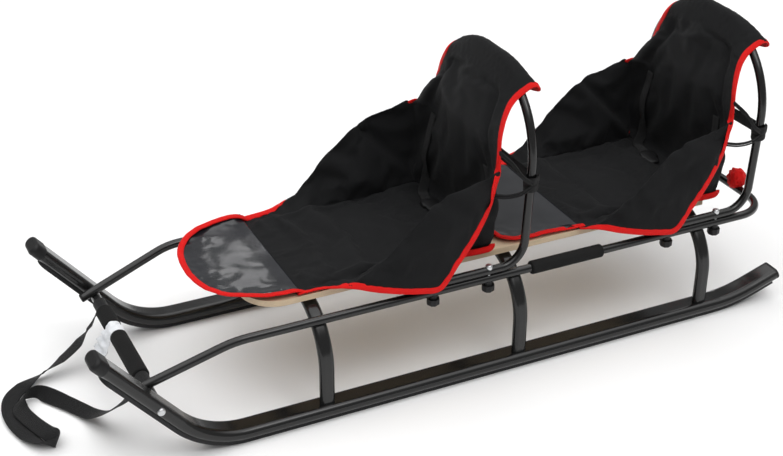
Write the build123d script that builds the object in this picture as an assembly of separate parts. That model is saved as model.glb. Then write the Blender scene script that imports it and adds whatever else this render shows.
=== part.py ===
from build123d import *
import os
from math import asin, atan2, cos, hypot, radians, sin, sqrt, tan

# Two-seat towed sled: bent steel tube frame on flat-oval runners, a slatted wooden deck,
# two hoop backrests and two sewn seat covers. Millimetres, X forward, Y left, Z up,
# with the origin on the snow below the middle of the frame.

# Fits
SEAT_GAP = 0.3             # soft or loose pieces stand this far off what carries them
SLEEVE_GAP = 0.15          # foam and webbing round a tube, all round
BOLT_GAP = 0.2             # bolt shank in its holes, all round

# Runners: flat-oval tube with a wear strip below, a cap on the nose and a plug in the tail
LENGTH = 1206.0            # nose to tail
RUNNER_GAUGE = 350.0       # between the runners' centre lines
RUNNER_WIDTH = 40.0
RUNNER_THICK = 20.0
NOSE_HEIGHT = 204.0        # centre of the nose tip above the snow
NOSE_ANGLE = 50.0
NOSE_BEND_RADIUS = 135.0
TAIL_RISE = 30.0
TAIL_ANGLE = 18.0
TAIL_BEND_RADIUS = 250.0
CAP_LENGTH = 22.0
CAP_PROUD = 1.0
CAP_ROUND = 6.0
PLUG_LENGTH = 5.0
PLUG_ROUND = 2.0
STRIP_WIDTH = 26.0
STRIP_THICK = 6.0
STRIP_NOSE_GAP = 10.0      # bare runner between the cap and the strip
STRIP_TAIL_GAP = 12.0
STRIP_TIP_FLAT = 1.2       # flat left between the rounded corners of the nose end

# Arches: inverted U legs that stand on the runners and carry the deck
ARCH_FRONT_SHARE = 0.2048  # front arch, ahead of the middle as a share of the length
ARCH_MIDDLE_AHEAD = 11.0   # middle arch, ahead of the front hoop's uprights
ARCH_REAR_AHEAD = 91.0     # rear arch, ahead of the rear hoop's uprights
ARCH_WIDTH = 24.0          # along the sled
ARCH_THICK = 15.0
ARCH_RADIUS = 92.0
ARCH_FOOT_OUT = 2.0        # feet stand this far outside the runners' centre lines
DECK_HEIGHT = 181.0        # underside of the slats

# Side rail: one round tube, open at the front, that runs round the tail
TUBE_RADIUS = 7.0
RAIL_SPREAD = 312.0        # between the rail's two sides
RAIL_TAIL_GAP = 17.0       # the rail's back run, ahead of the runners' tail ends
RAIL_REAR_RADIUS = 55.0
RAIL_BEND_BACK = 127.0     # the sides dip from this far behind the crossbar
RAIL_BEND_RADIUS = 120.0
RAIL_TOE_SPREAD = 280.0    # between the rail's front ends
RAIL_OVERHANG = 22.0       # front ends past the crossbar
RAIL_PLUG_LENGTH = 4.0
RAIL_PLUG_ROUND = 2.0
SIDE_GRIP_RADIUS = 11.0
SIDE_GRIP_LENGTH = 133.0
SIDE_GRIP_SHARE = -0.1505  # middle of the grip, as a share of the length

# Crossbar between the noses
CROSSBAR_BACK = 87.0       # behind the centre of the nose tips
CROSSBAR_RADIUS = 8.0
BAR_GRIP_RADIUS = 13.5
BAR_GRIP_ROUND = 3.0
BAR_GRIPS = {"left": (-20.0, 98.0), "right": (-98.0, -48.0)}   # from y, to y
BAR_BOLT_RADIUS = 6.0
BAR_BOLT_PROUD = 3.5
BOLT_DOME = 0.8            # rounded share of a bolt head's height
TAG_Y = -34.0
TAG_WIDTH = 25.0
TAG_THICK = 1.5
TAG_DROP = 50.0

# Deck slats
SLAT_COUNT = 4
SLAT_WIDTH = 58.0
SLAT_GAP = 7.0
SLAT_THICK = 10.0
SLAT_FRONT_SHARE = 0.2836  # ends of the slats, as shares of the length
SLAT_REAR_SHARE = -0.388
SLAT_CORNER_SHARE = 0.95   # outer front corners, rounded over this share of the width

# Hoops: backrest tubes whose feet lie on the side rail and are bolted through it
HOOP_FOOT_LENGTH = 180.0
HOOP_RISE = 274.0          # centre of the top tube above the seat base
HOOP_RECLINE = 2.5
HOOP_KNEE_RADIUS = 42.0
HOOP_CROWN_RADIUS = 135.0
BOLT_END_GAP = 22.0        # front bolts, behind the ends of the feet
BOLT_KNEE_GAP = 19.0       # rear bolts, ahead of the knees
BOLT_RADIUS = 3.0
BOLT_HEAD_RADIUS = 6.0
BOLT_HEAD_PROUD = 3.5
KNOB_RADIUS = 10.5
KNOB_FACETS = 8
KNOB_HEIGHT = 12.0
KNOB_CHAMFER = 2.4
KNOB_COLLAR_RADIUS = 6.5
KNOB_COLLAR = 3.5
BACK_STRAP_RISE = 119.0    # above the seat base
BACK_STRAP_WIDTH = 22.0
BACK_STRAP_THICK = 3.0
BACK_STRAP_WRAP = 12.0     # outer radius of the webbing wound round an upright

# Seat covers: uprights as a share of the length, vinyl seam and rear tongue ahead of them, then the
# reach of the foot panel's oval outline ahead of the seam
SEATS = {"front": (-0.0829, 370.0, 30.0, 132.0), "rear": (-0.4436, 317.0, 27.0, 224.0)}
FOOT_GAP = 4.0             # between the rear foot panel and the front seat's base
CLOTH = 5.0
VINYL = 3.0
COVER_HALF = 128.0
TONGUE_HALF = 127.0
TONGUE_THICK = 3.0
BACK_FOOT = 62.0           # back panel's foot, ahead of the upright
BACK_WAIST = 46.0
WAIST_RISE = 146.0         # where the wings' crests meet the back panel, above the base
WAIST_HALF = 149.0
SHOULDER_RISE = 236.0
SHOULDER_HALF = 120.0
HOOD_HALF = 110.0
HOOD_DEPTH = 60.0          # how far the hood hangs down from the hoop's top tube
HOOD_SLACK = 20.0          # room behind the tube
HOOD_CLOTH = 4.0
WING_FOOT = 110.0          # inner foot of a wing on the base
WING_CREST = 150.0
WING_CLOTH = 4.0
# Wing sections: ahead of the upright, crest above the base, outer edge's y, outer edge above the base
WING_SECTIONS = (
    (287.0, 11.0, 153.0, 1.0),
    (178.0, 95.0, 172.0, -22.0),
    (150.0, 109.0, 174.0, -26.0),
    (105.0, 130.0, 169.0, 40.0),
    (52.0, 146.0, 158.0, 110.0),
)
BELT_Y = 92.0
BELT_WIDTH = 25.0
BELT_THICK = 2.0
BELT_LOW = 16.0            # above the base
BELT_HIGH = 104.0
BUCKLE_WIDTH = 30.0
BUCKLE_LENGTH = 34.0
BUCKLE_THICK = 8.0

# Rear ties on the rail's back run
TIE_Y = 68.0
TIE_WIDTH = 26.0
TIE_RADIUS = 14.0
TIE_ROUND = 3.5

# Tow strap
STRAP_RADIUS = 4.0
ANCHOR_Y = 112.0
ANCHOR_WIDTH = 25.0
ANCHOR_THICK = 2.5
ANCHOR_TILT = 40.0         # the strap leaves the crossbar this far below level
STRAP_BEND = 0.45          # share of the shorter run that each bend takes
# Route over the snow: ahead of the crossbar, y, z
STRAP_ROUTE = (
    (27, -113, 77.5), (52, -117, 50), (82, -114, 24), (114, -105, 7), (144, -91, 4.2),
    (167, -67, 4.2), (179, -33, 4.2), (179, 5, 4.2), (167, 41, 4.2), (149, 70, 4.2),
    (131, 85, 4.2), (116, 72, 4.2), (126, 46, 4.2), (141, 14, 4.2), (152, -22, 4.2),
    (148, -48, 4.2), (132, -58, 4.2), (117, -44, 4.2), (95, -17, 4.2), (77, 12, 4.2),
    (65, 40, 10), (54, 70, 30), (42, 95, 55), (27, 111, 77.5),
)

# Values that follow from the sizes above
nose = radians(NOSE_ANGLE)
tail = radians(TAIL_ANGLE)
ground_z = STRIP_THICK + RUNNER_THICK / 2
cap_half = RUNNER_THICK / 2 + CAP_PROUD
nose_tip_x = LENGTH / 2 - CAP_ROUND * (1 - cos(nose)) - (cap_half - CAP_ROUND) * sin(nose)
nose_knee_x = nose_tip_x - (NOSE_HEIGHT - ground_z) / tan(nose)
tail_tip_x = -LENGTH / 2 + PLUG_ROUND * (1 - cos(tail)) + (RUNNER_THICK / 2 - PLUG_ROUND) * sin(tail)
tail_knee_x = tail_tip_x + TAIL_RISE / tan(tail)
crossbar_x = nose_tip_x - CROSSBAR_BACK
rail_bend_x = crossbar_x - RAIL_BEND_BACK
rail_rear = RAIL_TAIL_GAP - LENGTH / 2
runner_y = RUNNER_GAUGE / 2
arch_foot_y = runner_y + ARCH_FOOT_OUT
arch_top_z = DECK_HEIGHT - ARCH_THICK / 2
rail_y = RAIL_SPREAD / 2
arch_reach = ARCH_RADIUS + ARCH_THICK / 2 + TUBE_RADIUS
rail_z = arch_top_z - ARCH_RADIUS + sqrt(arch_reach ** 2 - (rail_y - arch_foot_y + ARCH_RADIUS) ** 2)
crossbar_z = ground_z + (crossbar_x - nose_knee_x) * tan(nose)
bar_fall = rail_z - crossbar_z
bar_reach = hypot(RAIL_BEND_BACK, bar_fall)
rail_droop = atan2(bar_fall, RAIL_BEND_BACK) - asin((TUBE_RADIUS + CROSSBAR_RADIUS) / bar_reach)
hoop_z = rail_z + 2 * TUBE_RADIUS
recline = radians(HOOP_RECLINE)
cover_z = DECK_HEIGHT + SLAT_THICK
base_top = cover_z + CLOTH
back_foot_z = base_top + SEAT_GAP
waist_z = base_top + WAIST_RISE
crown_v = (base_top + HOOP_RISE - hoop_z) / cos(recline)
hoop_bolts = (HOOP_FOOT_LENGTH - BOLT_END_GAP, HOOP_KNEE_RADIUS + BOLT_KNEE_GAP)
uprights = {name: row[0] * LENGTH for name, row in SEATS.items()}
base_rears = {name: upright + BACK_WAIST - CLOTH for name, upright in uprights.items()}
foot_limits = {"front": LENGTH / 2, "rear": base_rears["front"] - FOOT_GAP}
arch_places = {"front": ARCH_FRONT_SHARE * LENGTH, "middle": uprights["front"] + ARCH_MIDDLE_AHEAD,
               "rear": uprights["rear"] + ARCH_REAR_AHEAD}
SIDES = {"left": 1, "right": -1}


def swept(points, radii, section, across):
    """A section carried along straight runs and tangent arcs; across is the section's own X."""
    path = FilletPolyline(*points, radius=radii)
    start = Plane(origin=path @ 0, x_dir=across, z_dir=path % 0)
    return sweep(start * section, path=path)


def ring(outer, inner, width, rounding=0.0):
    """A sleeve round the Y axis."""
    solid = Cylinder(outer, width)
    if rounding:
        solid = fillet(solid.edges().filter_by(GeomType.CIRCLE), rounding)
    return Rot(90, 0, 0) * (solid - Cylinder(inner, width))


def block(low, high):
    """A box between two corners."""
    size = [b - a for a, b in zip(low, high)]
    middle = [(a + b) / 2 for a, b in zip(low, high)]
    return Pos(*middle) * Box(*size)


def side_profile(points, from_y, to_y):
    """An outline in X and Z, given its width across the sled."""
    face = make_face(Polyline(*[(x, from_y, z) for x, z in points], close=True))
    return extrude(face, to_y - from_y, dir=(0, 1, 0))


def runner_points(drop, nose_short, tail_short):
    """A runner's line moved down by drop, its ends shortened along their own runs."""
    nose_end = (nose_tip_x + drop * sin(nose) - nose_short * cos(nose),
                NOSE_HEIGHT - drop * cos(nose) - nose_short * sin(nose))
    tail_end = (tail_tip_x - drop * sin(tail) + tail_short * cos(tail),
                ground_z + TAIL_RISE - drop * cos(tail) - tail_short * sin(tail))
    nose_knee = (nose_knee_x + drop * tan(nose / 2), ground_z - drop)
    tail_knee = (tail_knee_x - drop * tan(tail / 2), ground_z - drop)
    return [(x, 0, z) for x, z in (nose_end, nose_knee, tail_knee, tail_end)]


def runner():
    line = runner_points(0, CAP_LENGTH, PLUG_LENGTH)
    section = SlotOverall(RUNNER_WIDTH, RUNNER_THICK)
    return swept(line, [NOSE_BEND_RADIUS, TAIL_BEND_RADIUS], section, (0, 1, 0))


def wear_strip():
    """The strip under a runner, rounded at the nose."""
    drop = (RUNNER_THICK + STRIP_THICK) / 2
    line = runner_points(drop, CAP_LENGTH + STRIP_NOSE_GAP, STRIP_TAIL_GAP)
    radii = [NOSE_BEND_RADIUS + drop, TAIL_BEND_RADIUS + drop]
    strip = swept(line, radii, Rectangle(STRIP_WIDTH, STRIP_THICK), (0, 1, 0))
    tip = strip.faces().sort_by(Axis.X)[-1]
    corners = tip.edges().filter_by(lambda edge: abs(edge.length - STRIP_THICK) < STRIP_THICK / 100)
    return fillet(corners, (STRIP_WIDTH - STRIP_TIP_FLAT) / 2)


def end_piece(width, thick, length, rounding):
    """A flat-oval cap along Z with its outer rim rounded."""
    solid = extrude(SlotOverall(width, thick), length)
    return fillet(solid.faces().sort_by(Axis.Z)[-1].edges(), rounding)


def nose_cap():
    cap = end_piece(RUNNER_WIDTH + 2 * CAP_PROUD, RUNNER_THICK + 2 * CAP_PROUD, CAP_LENGTH, CAP_ROUND)
    foot = (nose_tip_x - CAP_LENGTH * cos(nose), 0, NOSE_HEIGHT - CAP_LENGTH * sin(nose))
    return Plane(origin=foot, x_dir=(0, 1, 0), z_dir=(cos(nose), 0, sin(nose))) * cap


def tail_plug():
    plug = end_piece(RUNNER_WIDTH, RUNNER_THICK, PLUG_LENGTH, PLUG_ROUND)
    foot = (tail_tip_x + PLUG_LENGTH * cos(tail), 0, ground_z + TAIL_RISE - PLUG_LENGTH * sin(tail))
    return Plane(origin=foot, x_dir=(0, 1, 0), z_dir=(-cos(tail), 0, sin(tail))) * plug


def arch(x):
    foot_z = STRIP_THICK + RUNNER_THICK
    legs = [(x, -arch_foot_y, foot_z), (x, -arch_foot_y, arch_top_z),
            (x, arch_foot_y, arch_top_z), (x, arch_foot_y, foot_z)]
    return swept(legs, [ARCH_RADIUS, ARCH_RADIUS], SlotOverall(ARCH_WIDTH, ARCH_THICK), (1, 0, 0))


def rail_toe(side, past):
    """A point on the rail's dipping end, at a distance past the crossbar."""
    run = RAIL_BEND_BACK + past
    y = rail_y + run / (RAIL_BEND_BACK + RAIL_OVERHANG) * (RAIL_TOE_SPREAD - RAIL_SPREAD) / 2
    return (rail_bend_x + run, side * y, rail_z - run * tan(rail_droop))


def side_rail():
    line = [rail_toe(-1, RAIL_OVERHANG), (rail_bend_x, -rail_y, rail_z), (rail_rear, -rail_y, rail_z),
            (rail_rear, rail_y, rail_z), (rail_bend_x, rail_y, rail_z), rail_toe(1, RAIL_OVERHANG)]
    radii = [RAIL_BEND_RADIUS, RAIL_REAR_RADIUS, RAIL_REAR_RADIUS, RAIL_BEND_RADIUS]
    rail = swept(line, radii, Circle(TUBE_RADIUS), (0, 1, 0))
    for upright in uprights.values():
        rail -= bolt_holes(upright)
    return rail


def rail_plug(side):
    """A domed plug on one front end of the rail."""
    end = Vector(rail_toe(side, RAIL_OVERHANG))
    along = (end - Vector(rail_toe(side, 0))).normalized()
    plug = Cylinder(TUBE_RADIUS, RAIL_PLUG_LENGTH, align=(Align.CENTER, Align.CENTER, Align.MIN))
    plug = fillet(plug.faces().sort_by(Axis.Z)[-1].edges(), RAIL_PLUG_ROUND)
    return Plane(origin=end, x_dir=(0, 1, 0), z_dir=along) * plug


def crossbar(runners):
    """The bar between the noses, its ends shaped to the runners' round sides."""
    length = RUNNER_GAUGE - RUNNER_WIDTH + RUNNER_THICK
    bar = Pos(crossbar_x, 0, crossbar_z) * Rot(90, 0, 0) * Cylinder(CROSSBAR_RADIUS, length)
    for tube in runners:
        bar -= tube
    return bar


def crossbar_bolt(side, tube):
    """A domed head on a runner's outer side."""
    seat = RUNNER_THICK / 2 - sqrt((RUNNER_THICK / 2) ** 2 - BAR_BOLT_RADIUS ** 2)
    head = Cylinder(BAR_BOLT_RADIUS, seat + BAR_BOLT_PROUD, align=(Align.CENTER, Align.CENTER, Align.MIN))
    head = fillet(head.faces().sort_by(Axis.Z)[-1].edges(), BAR_BOLT_PROUD * BOLT_DOME)
    foot = (crossbar_x, side * (runner_y + RUNNER_WIDTH / 2 - seat), crossbar_z)
    return Plane(origin=foot, x_dir=(1, 0, 0), z_dir=(0, side, 0)) * head - tube


def bar_grip(from_y, to_y):
    sleeve = ring(BAR_GRIP_RADIUS, CROSSBAR_RADIUS + SLEEVE_GAP, to_y - from_y, BAR_GRIP_ROUND)
    return Pos(crossbar_x, (from_y + to_y) / 2, crossbar_z) * sleeve


def bar_tag():
    """A blank tag: a band round the crossbar with a leaf that hangs from it."""
    inner = CROSSBAR_RADIUS + SLEEVE_GAP
    band = ring(inner + TAG_THICK, inner, TAG_WIDTH)
    leaf = block((inner, -TAG_WIDTH / 2, -TAG_DROP), (inner + TAG_THICK, TAG_WIDTH / 2, 0))
    return Pos(crossbar_x, TAG_Y, crossbar_z) * (band + leaf)


def slat(number):
    y = (number - (SLAT_COUNT - 1) / 2) * (SLAT_WIDTH + SLAT_GAP)
    board = block((SLAT_REAR_SHARE * LENGTH, y - SLAT_WIDTH / 2, DECK_HEIGHT),
                  (SLAT_FRONT_SHARE * LENGTH, y + SLAT_WIDTH / 2, cover_z))
    if number in (0, SLAT_COUNT - 1):
        front = board.edges().filter_by(Axis.Z).group_by(Axis.X)[-1]
        outer = front.sort_by(Axis.Y)[0 if number == 0 else -1]
        board = fillet(outer, SLAT_CORNER_SHARE * SLAT_WIDTH)
    return board


def hoop_plane(upright):
    """A hoop's own plane: X across the sled, Y up the uprights, Z forward."""
    return Plane(origin=(upright, 0, hoop_z), x_dir=(0, 1, 0), z_dir=(cos(recline), 0, sin(recline)))


def bolt_spots(upright):
    return [(upright + ahead, side * rail_y) for ahead in hoop_bolts for side in SIDES.values()]


def bolt_holes(upright):
    height = 6 * TUBE_RADIUS
    holes = [Pos(x, y, rail_z + TUBE_RADIUS) * Cylinder(BOLT_RADIUS + BOLT_GAP, height)
             for x, y in bolt_spots(upright)]
    return Compound(children=holes)


def hoop(upright):
    plane = hoop_plane(upright)
    line = [(upright + HOOP_FOOT_LENGTH, -rail_y, hoop_z), (upright, -rail_y, hoop_z),
            plane.from_local_coords((-rail_y, crown_v, 0)), plane.from_local_coords((rail_y, crown_v, 0)),
            (upright, rail_y, hoop_z), (upright + HOOP_FOOT_LENGTH, rail_y, hoop_z)]
    radii = [HOOP_KNEE_RADIUS, HOOP_CROWN_RADIUS, HOOP_CROWN_RADIUS, HOOP_KNEE_RADIUS]
    tube = swept(line, radii, Circle(TUBE_RADIUS), (0, 1, 0))
    for x, y in bolt_spots(upright):
        tube -= Pos(x, y, hoop_z) * Cylinder(BOLT_RADIUS + BOLT_GAP, 3 * TUBE_RADIUS)
    return tube


def along_x(radius, length):
    return Rot(0, 90, 0) * Cylinder(radius, length)


def hoop_bolt():
    """A bolt through hoop foot and rail, its head saddled on the tube; the rail's axis is at z 0."""
    top = 3 * TUBE_RADIUS
    seat = TUBE_RADIUS - sqrt(TUBE_RADIUS ** 2 - BOLT_HEAD_RADIUS ** 2)
    head = Pos(0, 0, top - seat) * Cylinder(
        BOLT_HEAD_RADIUS, seat + BOLT_HEAD_PROUD, align=(Align.CENTER, Align.CENTER, Align.MIN))
    head = fillet(head.faces().sort_by(Axis.Z)[-1].edges(), BOLT_HEAD_PROUD * BOLT_DOME)
    head -= Pos(0, 0, 2 * TUBE_RADIUS) * along_x(TUBE_RADIUS, 4 * BOLT_HEAD_RADIUS)
    low = -TUBE_RADIUS - KNOB_COLLAR - KNOB_HEIGHT / 2
    return head + Pos(0, 0, (low + top) / 2) * Cylinder(BOLT_RADIUS, top - low)


def hoop_knob():
    """A faceted knob below the rail, with a blind hole for the bolt; the rail's axis is at z 0."""
    seat = TUBE_RADIUS - sqrt(TUBE_RADIUS ** 2 - KNOB_COLLAR_RADIUS ** 2)
    collar_low = -TUBE_RADIUS - KNOB_COLLAR
    body = extrude(RegularPolygon(KNOB_RADIUS, KNOB_FACETS), KNOB_HEIGHT)
    body = chamfer(body.faces().sort_by(Axis.Z)[0].edges(), KNOB_CHAMFER)
    body = Pos(0, 0, collar_low - KNOB_HEIGHT) * body
    collar = Pos(0, 0, collar_low) * Cylinder(
        KNOB_COLLAR_RADIUS, KNOB_COLLAR + seat, align=(Align.CENTER, Align.CENTER, Align.MIN))
    knob = body + collar - along_x(TUBE_RADIUS, 4 * KNOB_RADIUS)
    hole_low = collar_low - KNOB_HEIGHT / 2 - BOLT_GAP
    hole = Cylinder(BOLT_RADIUS + BOLT_GAP, -hole_low, align=(Align.CENTER, Align.CENTER, Align.MIN))
    return knob - Pos(0, 0, hole_low) * hole


def at_bolts(upright, piece):
    return [Pos(x, y, rail_z) * piece for x, y in bolt_spots(upright)]


def back_strap(upright):
    """Webbing wound round both uprights and drawn across behind the seat back."""
    height = (base_top + BACK_STRAP_RISE - hoop_z) / cos(recline)
    strap = block((-rail_y, height - BACK_STRAP_WIDTH / 2, -TUBE_RADIUS - BACK_STRAP_THICK),
                  (rail_y, height + BACK_STRAP_WIDTH / 2, -TUBE_RADIUS))
    for side in SIDES.values():
        wrap = Cylinder(BACK_STRAP_WRAP, BACK_STRAP_WIDTH)
        strap += Pos(side * rail_y, height, 0) * Rot(90, 0, 0) * wrap
    for side in SIDES.values():
        bore = Cylinder(TUBE_RADIUS + SLEEVE_GAP, 2 * BACK_STRAP_WIDTH)
        strap -= Pos(side * rail_y, height, 0) * Rot(90, 0, 0) * bore
    return hoop_plane(upright) * strap


def cover_base(rear, seam, tongue):
    """The sewn base on the slats, with a tongue behind the back panel."""
    low = cover_z + VINYL + SEAT_GAP
    base = block((rear, -COVER_HALF, cover_z), (seam, COVER_HALF, base_top))
    return base + block((tongue, -TONGUE_HALF, low), (rear + CLOTH, TONGUE_HALF, low + TONGUE_THICK))


def foot_vinyl(seam, reach, limit):
    """The rounded vinyl panel at the foot end, cut straight where it comes to its limit."""
    oval = Pos(seam, 0, cover_z) * extrude(Ellipse(reach, COVER_HALF), VINYL)
    return oval & block((seam, -COVER_HALF, cover_z), (limit, COVER_HALF, cover_z + VINYL))


def crown_block(proud, from_forward, to_forward):
    """The filled outline of a hoop, grown by proud, between two distances ahead of its plane."""
    half = rail_y + TUBE_RADIUS + proud
    top = crown_v + TUBE_RADIUS + proud
    corner = HOOP_CROWN_RADIUS + TUBE_RADIUS + proud
    outline = Pos(0, top - 2 * half, from_forward) * RectangleRounded(2 * half, 4 * half, corner)
    return extrude(outline, to_forward - from_forward)


def hood(upright):
    """The pocket sewn over the hoop's top tube, slack behind it and open below."""
    near = TUBE_RADIUS + SEAT_GAP
    far = near + HOOD_SLACK
    shell = crown_block(SEAT_GAP + HOOD_CLOTH, -far - HOOD_CLOTH, near + HOOD_CLOTH)
    shell -= crown_block(SEAT_GAP, -far, near)
    keep = block((-HOOD_HALF, crown_v - HOOD_DEPTH, -3 * far), (HOOD_HALF, crown_v + far, 3 * far))
    return hoop_plane(upright) * (shell & keep)


def seat_back(upright):
    """The back panel from the base up to the hood."""
    shoulder_z = base_top + SHOULDER_RISE
    hood_face = hoop_plane(upright).from_local_coords(
        (0, (shoulder_z - hoop_z) / cos(recline), TUBE_RADIUS + SEAT_GAP))
    rear = [(upright + BACK_FOOT, back_foot_z), (upright + BACK_WAIST, waist_z), (hood_face.X, hood_face.Z)]
    front = [(x + CLOTH, z) for x, z in reversed(rear)]
    slab = side_profile(rear + front, -WAIST_HALF, WAIST_HALF)
    half = [(WING_FOOT - SEAT_GAP, back_foot_z), (WAIST_HALF, waist_z), (SHOULDER_HALF, shoulder_z)]
    outline = half + [(-y, z) for y, z in reversed(half)]
    face = make_face(Polyline(*[(upright - BACK_FOOT, y, z) for y, z in outline], close=True))
    return (slab & extrude(face, 3 * BACK_FOOT, dir=(1, 0, 0))) + hood(upright)


def wing_section(x, crest, edge_y, edge_z):
    """An inverted V of cloth: from the base up to the crest and down outside to the free edge."""
    rise = crest - back_foot_z
    run = WING_CREST - WING_FOOT
    fall = crest - edge_z
    out = edge_y - WING_CREST
    down = (rise - (run - 2 * WING_CLOTH) * rise / run) / (fall + out * rise / run)
    fork = (WING_CREST - WING_CLOTH + out * down, crest - fall * down)
    points = [(WING_FOOT, back_foot_z), (WING_CREST, crest), (edge_y, edge_z), (edge_y - WING_CLOTH, edge_z),
              fork, (WING_FOOT + WING_CLOTH, back_foot_z)]
    return make_face(Polyline(*[(x, y, z) for y, z in points], close=True))


def wing(upright, side):
    sections = [wing_section(upright + ahead, base_top + crest, edge_y, base_top + edge)
                for ahead, crest, edge_y, edge in WING_SECTIONS]
    solid = loft(sections, ruled=True)
    return solid if side > 0 else mirror(solid, about=Plane.XZ)


def belt(upright, side):
    """One belt end on the back panel, with its half of the buckle."""
    lean = (BACK_WAIST - BACK_FOOT) / (waist_z - back_foot_z)
    face_x = upright + BACK_FOOT + CLOTH + SEAT_GAP

    def slab(low, high, thick, half):
        outline = [(face_x + (base_top + rise - back_foot_z) * lean + off, base_top + rise)
                   for rise, off in ((low, 0), (high, 0), (high, thick), (low, thick))]
        return side_profile(outline, side * BELT_Y - half, side * BELT_Y + half)
    strap = slab(BELT_LOW, BELT_HIGH, BELT_THICK, BELT_WIDTH / 2)
    return strap + slab(BELT_LOW, BELT_LOW + BUCKLE_LENGTH, BUCKLE_THICK, BUCKLE_WIDTH / 2)


def rear_tie(side):
    tie = ring(TIE_RADIUS, TUBE_RADIUS + SLEEVE_GAP, TIE_WIDTH, TIE_ROUND)
    return Pos(rail_rear, side * TIE_Y, rail_z) * tie


def strap_anchor(side):
    inner = CROSSBAR_RADIUS + SLEEVE_GAP
    return Pos(crossbar_x, side * ANCHOR_Y, crossbar_z) * ring(inner + ANCHOR_THICK, inner, ANCHOR_WIDTH)


def tow_strap():
    """A loop of webbing, as a plain round tube, from one anchor over the snow to the other."""
    reach = CROSSBAR_RADIUS + SLEEVE_GAP + ANCHOR_THICK + SEAT_GAP
    tilt = radians(ANCHOR_TILT)
    end_x = crossbar_x + reach * cos(tilt)
    ends = [(end_x, side * ANCHOR_Y, crossbar_z - reach * sin(tilt)) for side in (-1, 1)]
    route = [(crossbar_x + ahead, y, z) for ahead, y, z in STRAP_ROUTE]
    points = [Vector(point) for point in (ends[0], *route, ends[1])]
    runs = [b - a for a, b in zip(points, points[1:])]
    radii = []
    for before, after in zip(runs, runs[1:]):
        turn = radians(before.get_angle(after))
        radii.append(STRAP_BEND * min(before.length, after.length) / tan(turn / 2))
    tube = swept(points, radii, Circle(STRAP_RADIUS), (0, 1, 0))
    print("tow strap radii", [round(radius) for radius in radii])
    print("tow strap length", round(tube.volume / Circle(STRAP_RADIUS).area))
    return tube


def save(node, *solids):
    shape = solids[0] if len(solids) == 1 else Compound(children=list(solids))
    export_step(shape, f"parts/{node}.step")


os.makedirs("parts", exist_ok=True)

runners = {name: Pos(0, side * runner_y, 0) * runner() for name, side in SIDES.items()}
for name, side in SIDES.items():
    save(f"runner_{name}", runners[name])
    save(f"wear_strip_{name}", Pos(0, side * runner_y, 0) * wear_strip())
    save(f"nose_cap_{name}", Pos(0, side * runner_y, 0) * nose_cap())
    save(f"tail_plug_{name}", Pos(0, side * runner_y, 0) * tail_plug())
    save(f"rail_plug_{name}", rail_plug(side))
    save(f"crossbar_bolt_{name}", crossbar_bolt(side, runners[name]))
    save(f"crossbar_grip_{name}", bar_grip(*BAR_GRIPS[name]))
    grip = Rot(0, 0, 90) * ring(SIDE_GRIP_RADIUS, TUBE_RADIUS + SLEEVE_GAP, SIDE_GRIP_LENGTH, BAR_GRIP_ROUND)
    save(f"side_grip_{name}", Pos(SIDE_GRIP_SHARE * LENGTH, side * rail_y, rail_z) * grip)
    save(f"strap_anchor_{name}", strap_anchor(side))

for name, place in arch_places.items():
    save(f"arch_{name}", arch(place))
for number in range(SLAT_COUNT):
    save(f"slat_{number + 1}", slat(number))

save("side_rail", side_rail())
save("crossbar", crossbar(runners.values()))
save("crossbar_tag", bar_tag())
save("rear_ties", *[rear_tie(side) for side in SIDES.values()])
save("tow_strap", tow_strap())

for name, (_, seam, tongue, foot_reach) in SEATS.items():
    upright = uprights[name]
    save(f"{name}_hoop", hoop(upright))
    save(f"{name}_hoop_bolts", *at_bolts(upright, hoop_bolt()))
    save(f"{name}_hoop_knobs", *at_bolts(upright, hoop_knob()))
    save(f"{name}_back_strap", back_strap(upright))
    save(f"{name}_cover_base", cover_base(base_rears[name], upright + seam, upright + tongue))
    save(f"{name}_cover_vinyl", foot_vinyl(upright + seam, foot_reach, foot_limits[name]))
    save(f"{name}_cover_back", seat_back(upright))
    for side_name, side in SIDES.items():
        save(f"{name}_cover_wing_{side_name}", wing(upright, side))
    save(f"{name}_belt", *[belt(upright, side) for side in SIDES.values()])
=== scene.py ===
"""Looks of a two-seat towed sled: enamelled tubes, wooden deck, sewn seat covers and a webbing strap."""

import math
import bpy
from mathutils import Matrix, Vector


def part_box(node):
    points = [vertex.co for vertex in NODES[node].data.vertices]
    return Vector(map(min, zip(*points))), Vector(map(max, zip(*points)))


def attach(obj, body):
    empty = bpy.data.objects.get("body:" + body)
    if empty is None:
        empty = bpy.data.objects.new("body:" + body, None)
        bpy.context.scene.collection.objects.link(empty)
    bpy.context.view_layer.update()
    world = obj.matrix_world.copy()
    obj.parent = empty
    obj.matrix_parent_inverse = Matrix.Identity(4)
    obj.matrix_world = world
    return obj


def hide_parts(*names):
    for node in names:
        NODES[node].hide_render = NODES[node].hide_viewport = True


bl_info = {
    "name": "Two-seat sled",
    "version": (1, 0, 0),
    "blender": (4, 5, 0),
    "location": "View3D > Sidebar > Sled",
    "description": "Dresses the frame of a two-seat sled with its finishes, covers and straps",
    "category": "Object",
}

import bpy
import numpy as np
from mathutils import Matrix, Vector, noise

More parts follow.
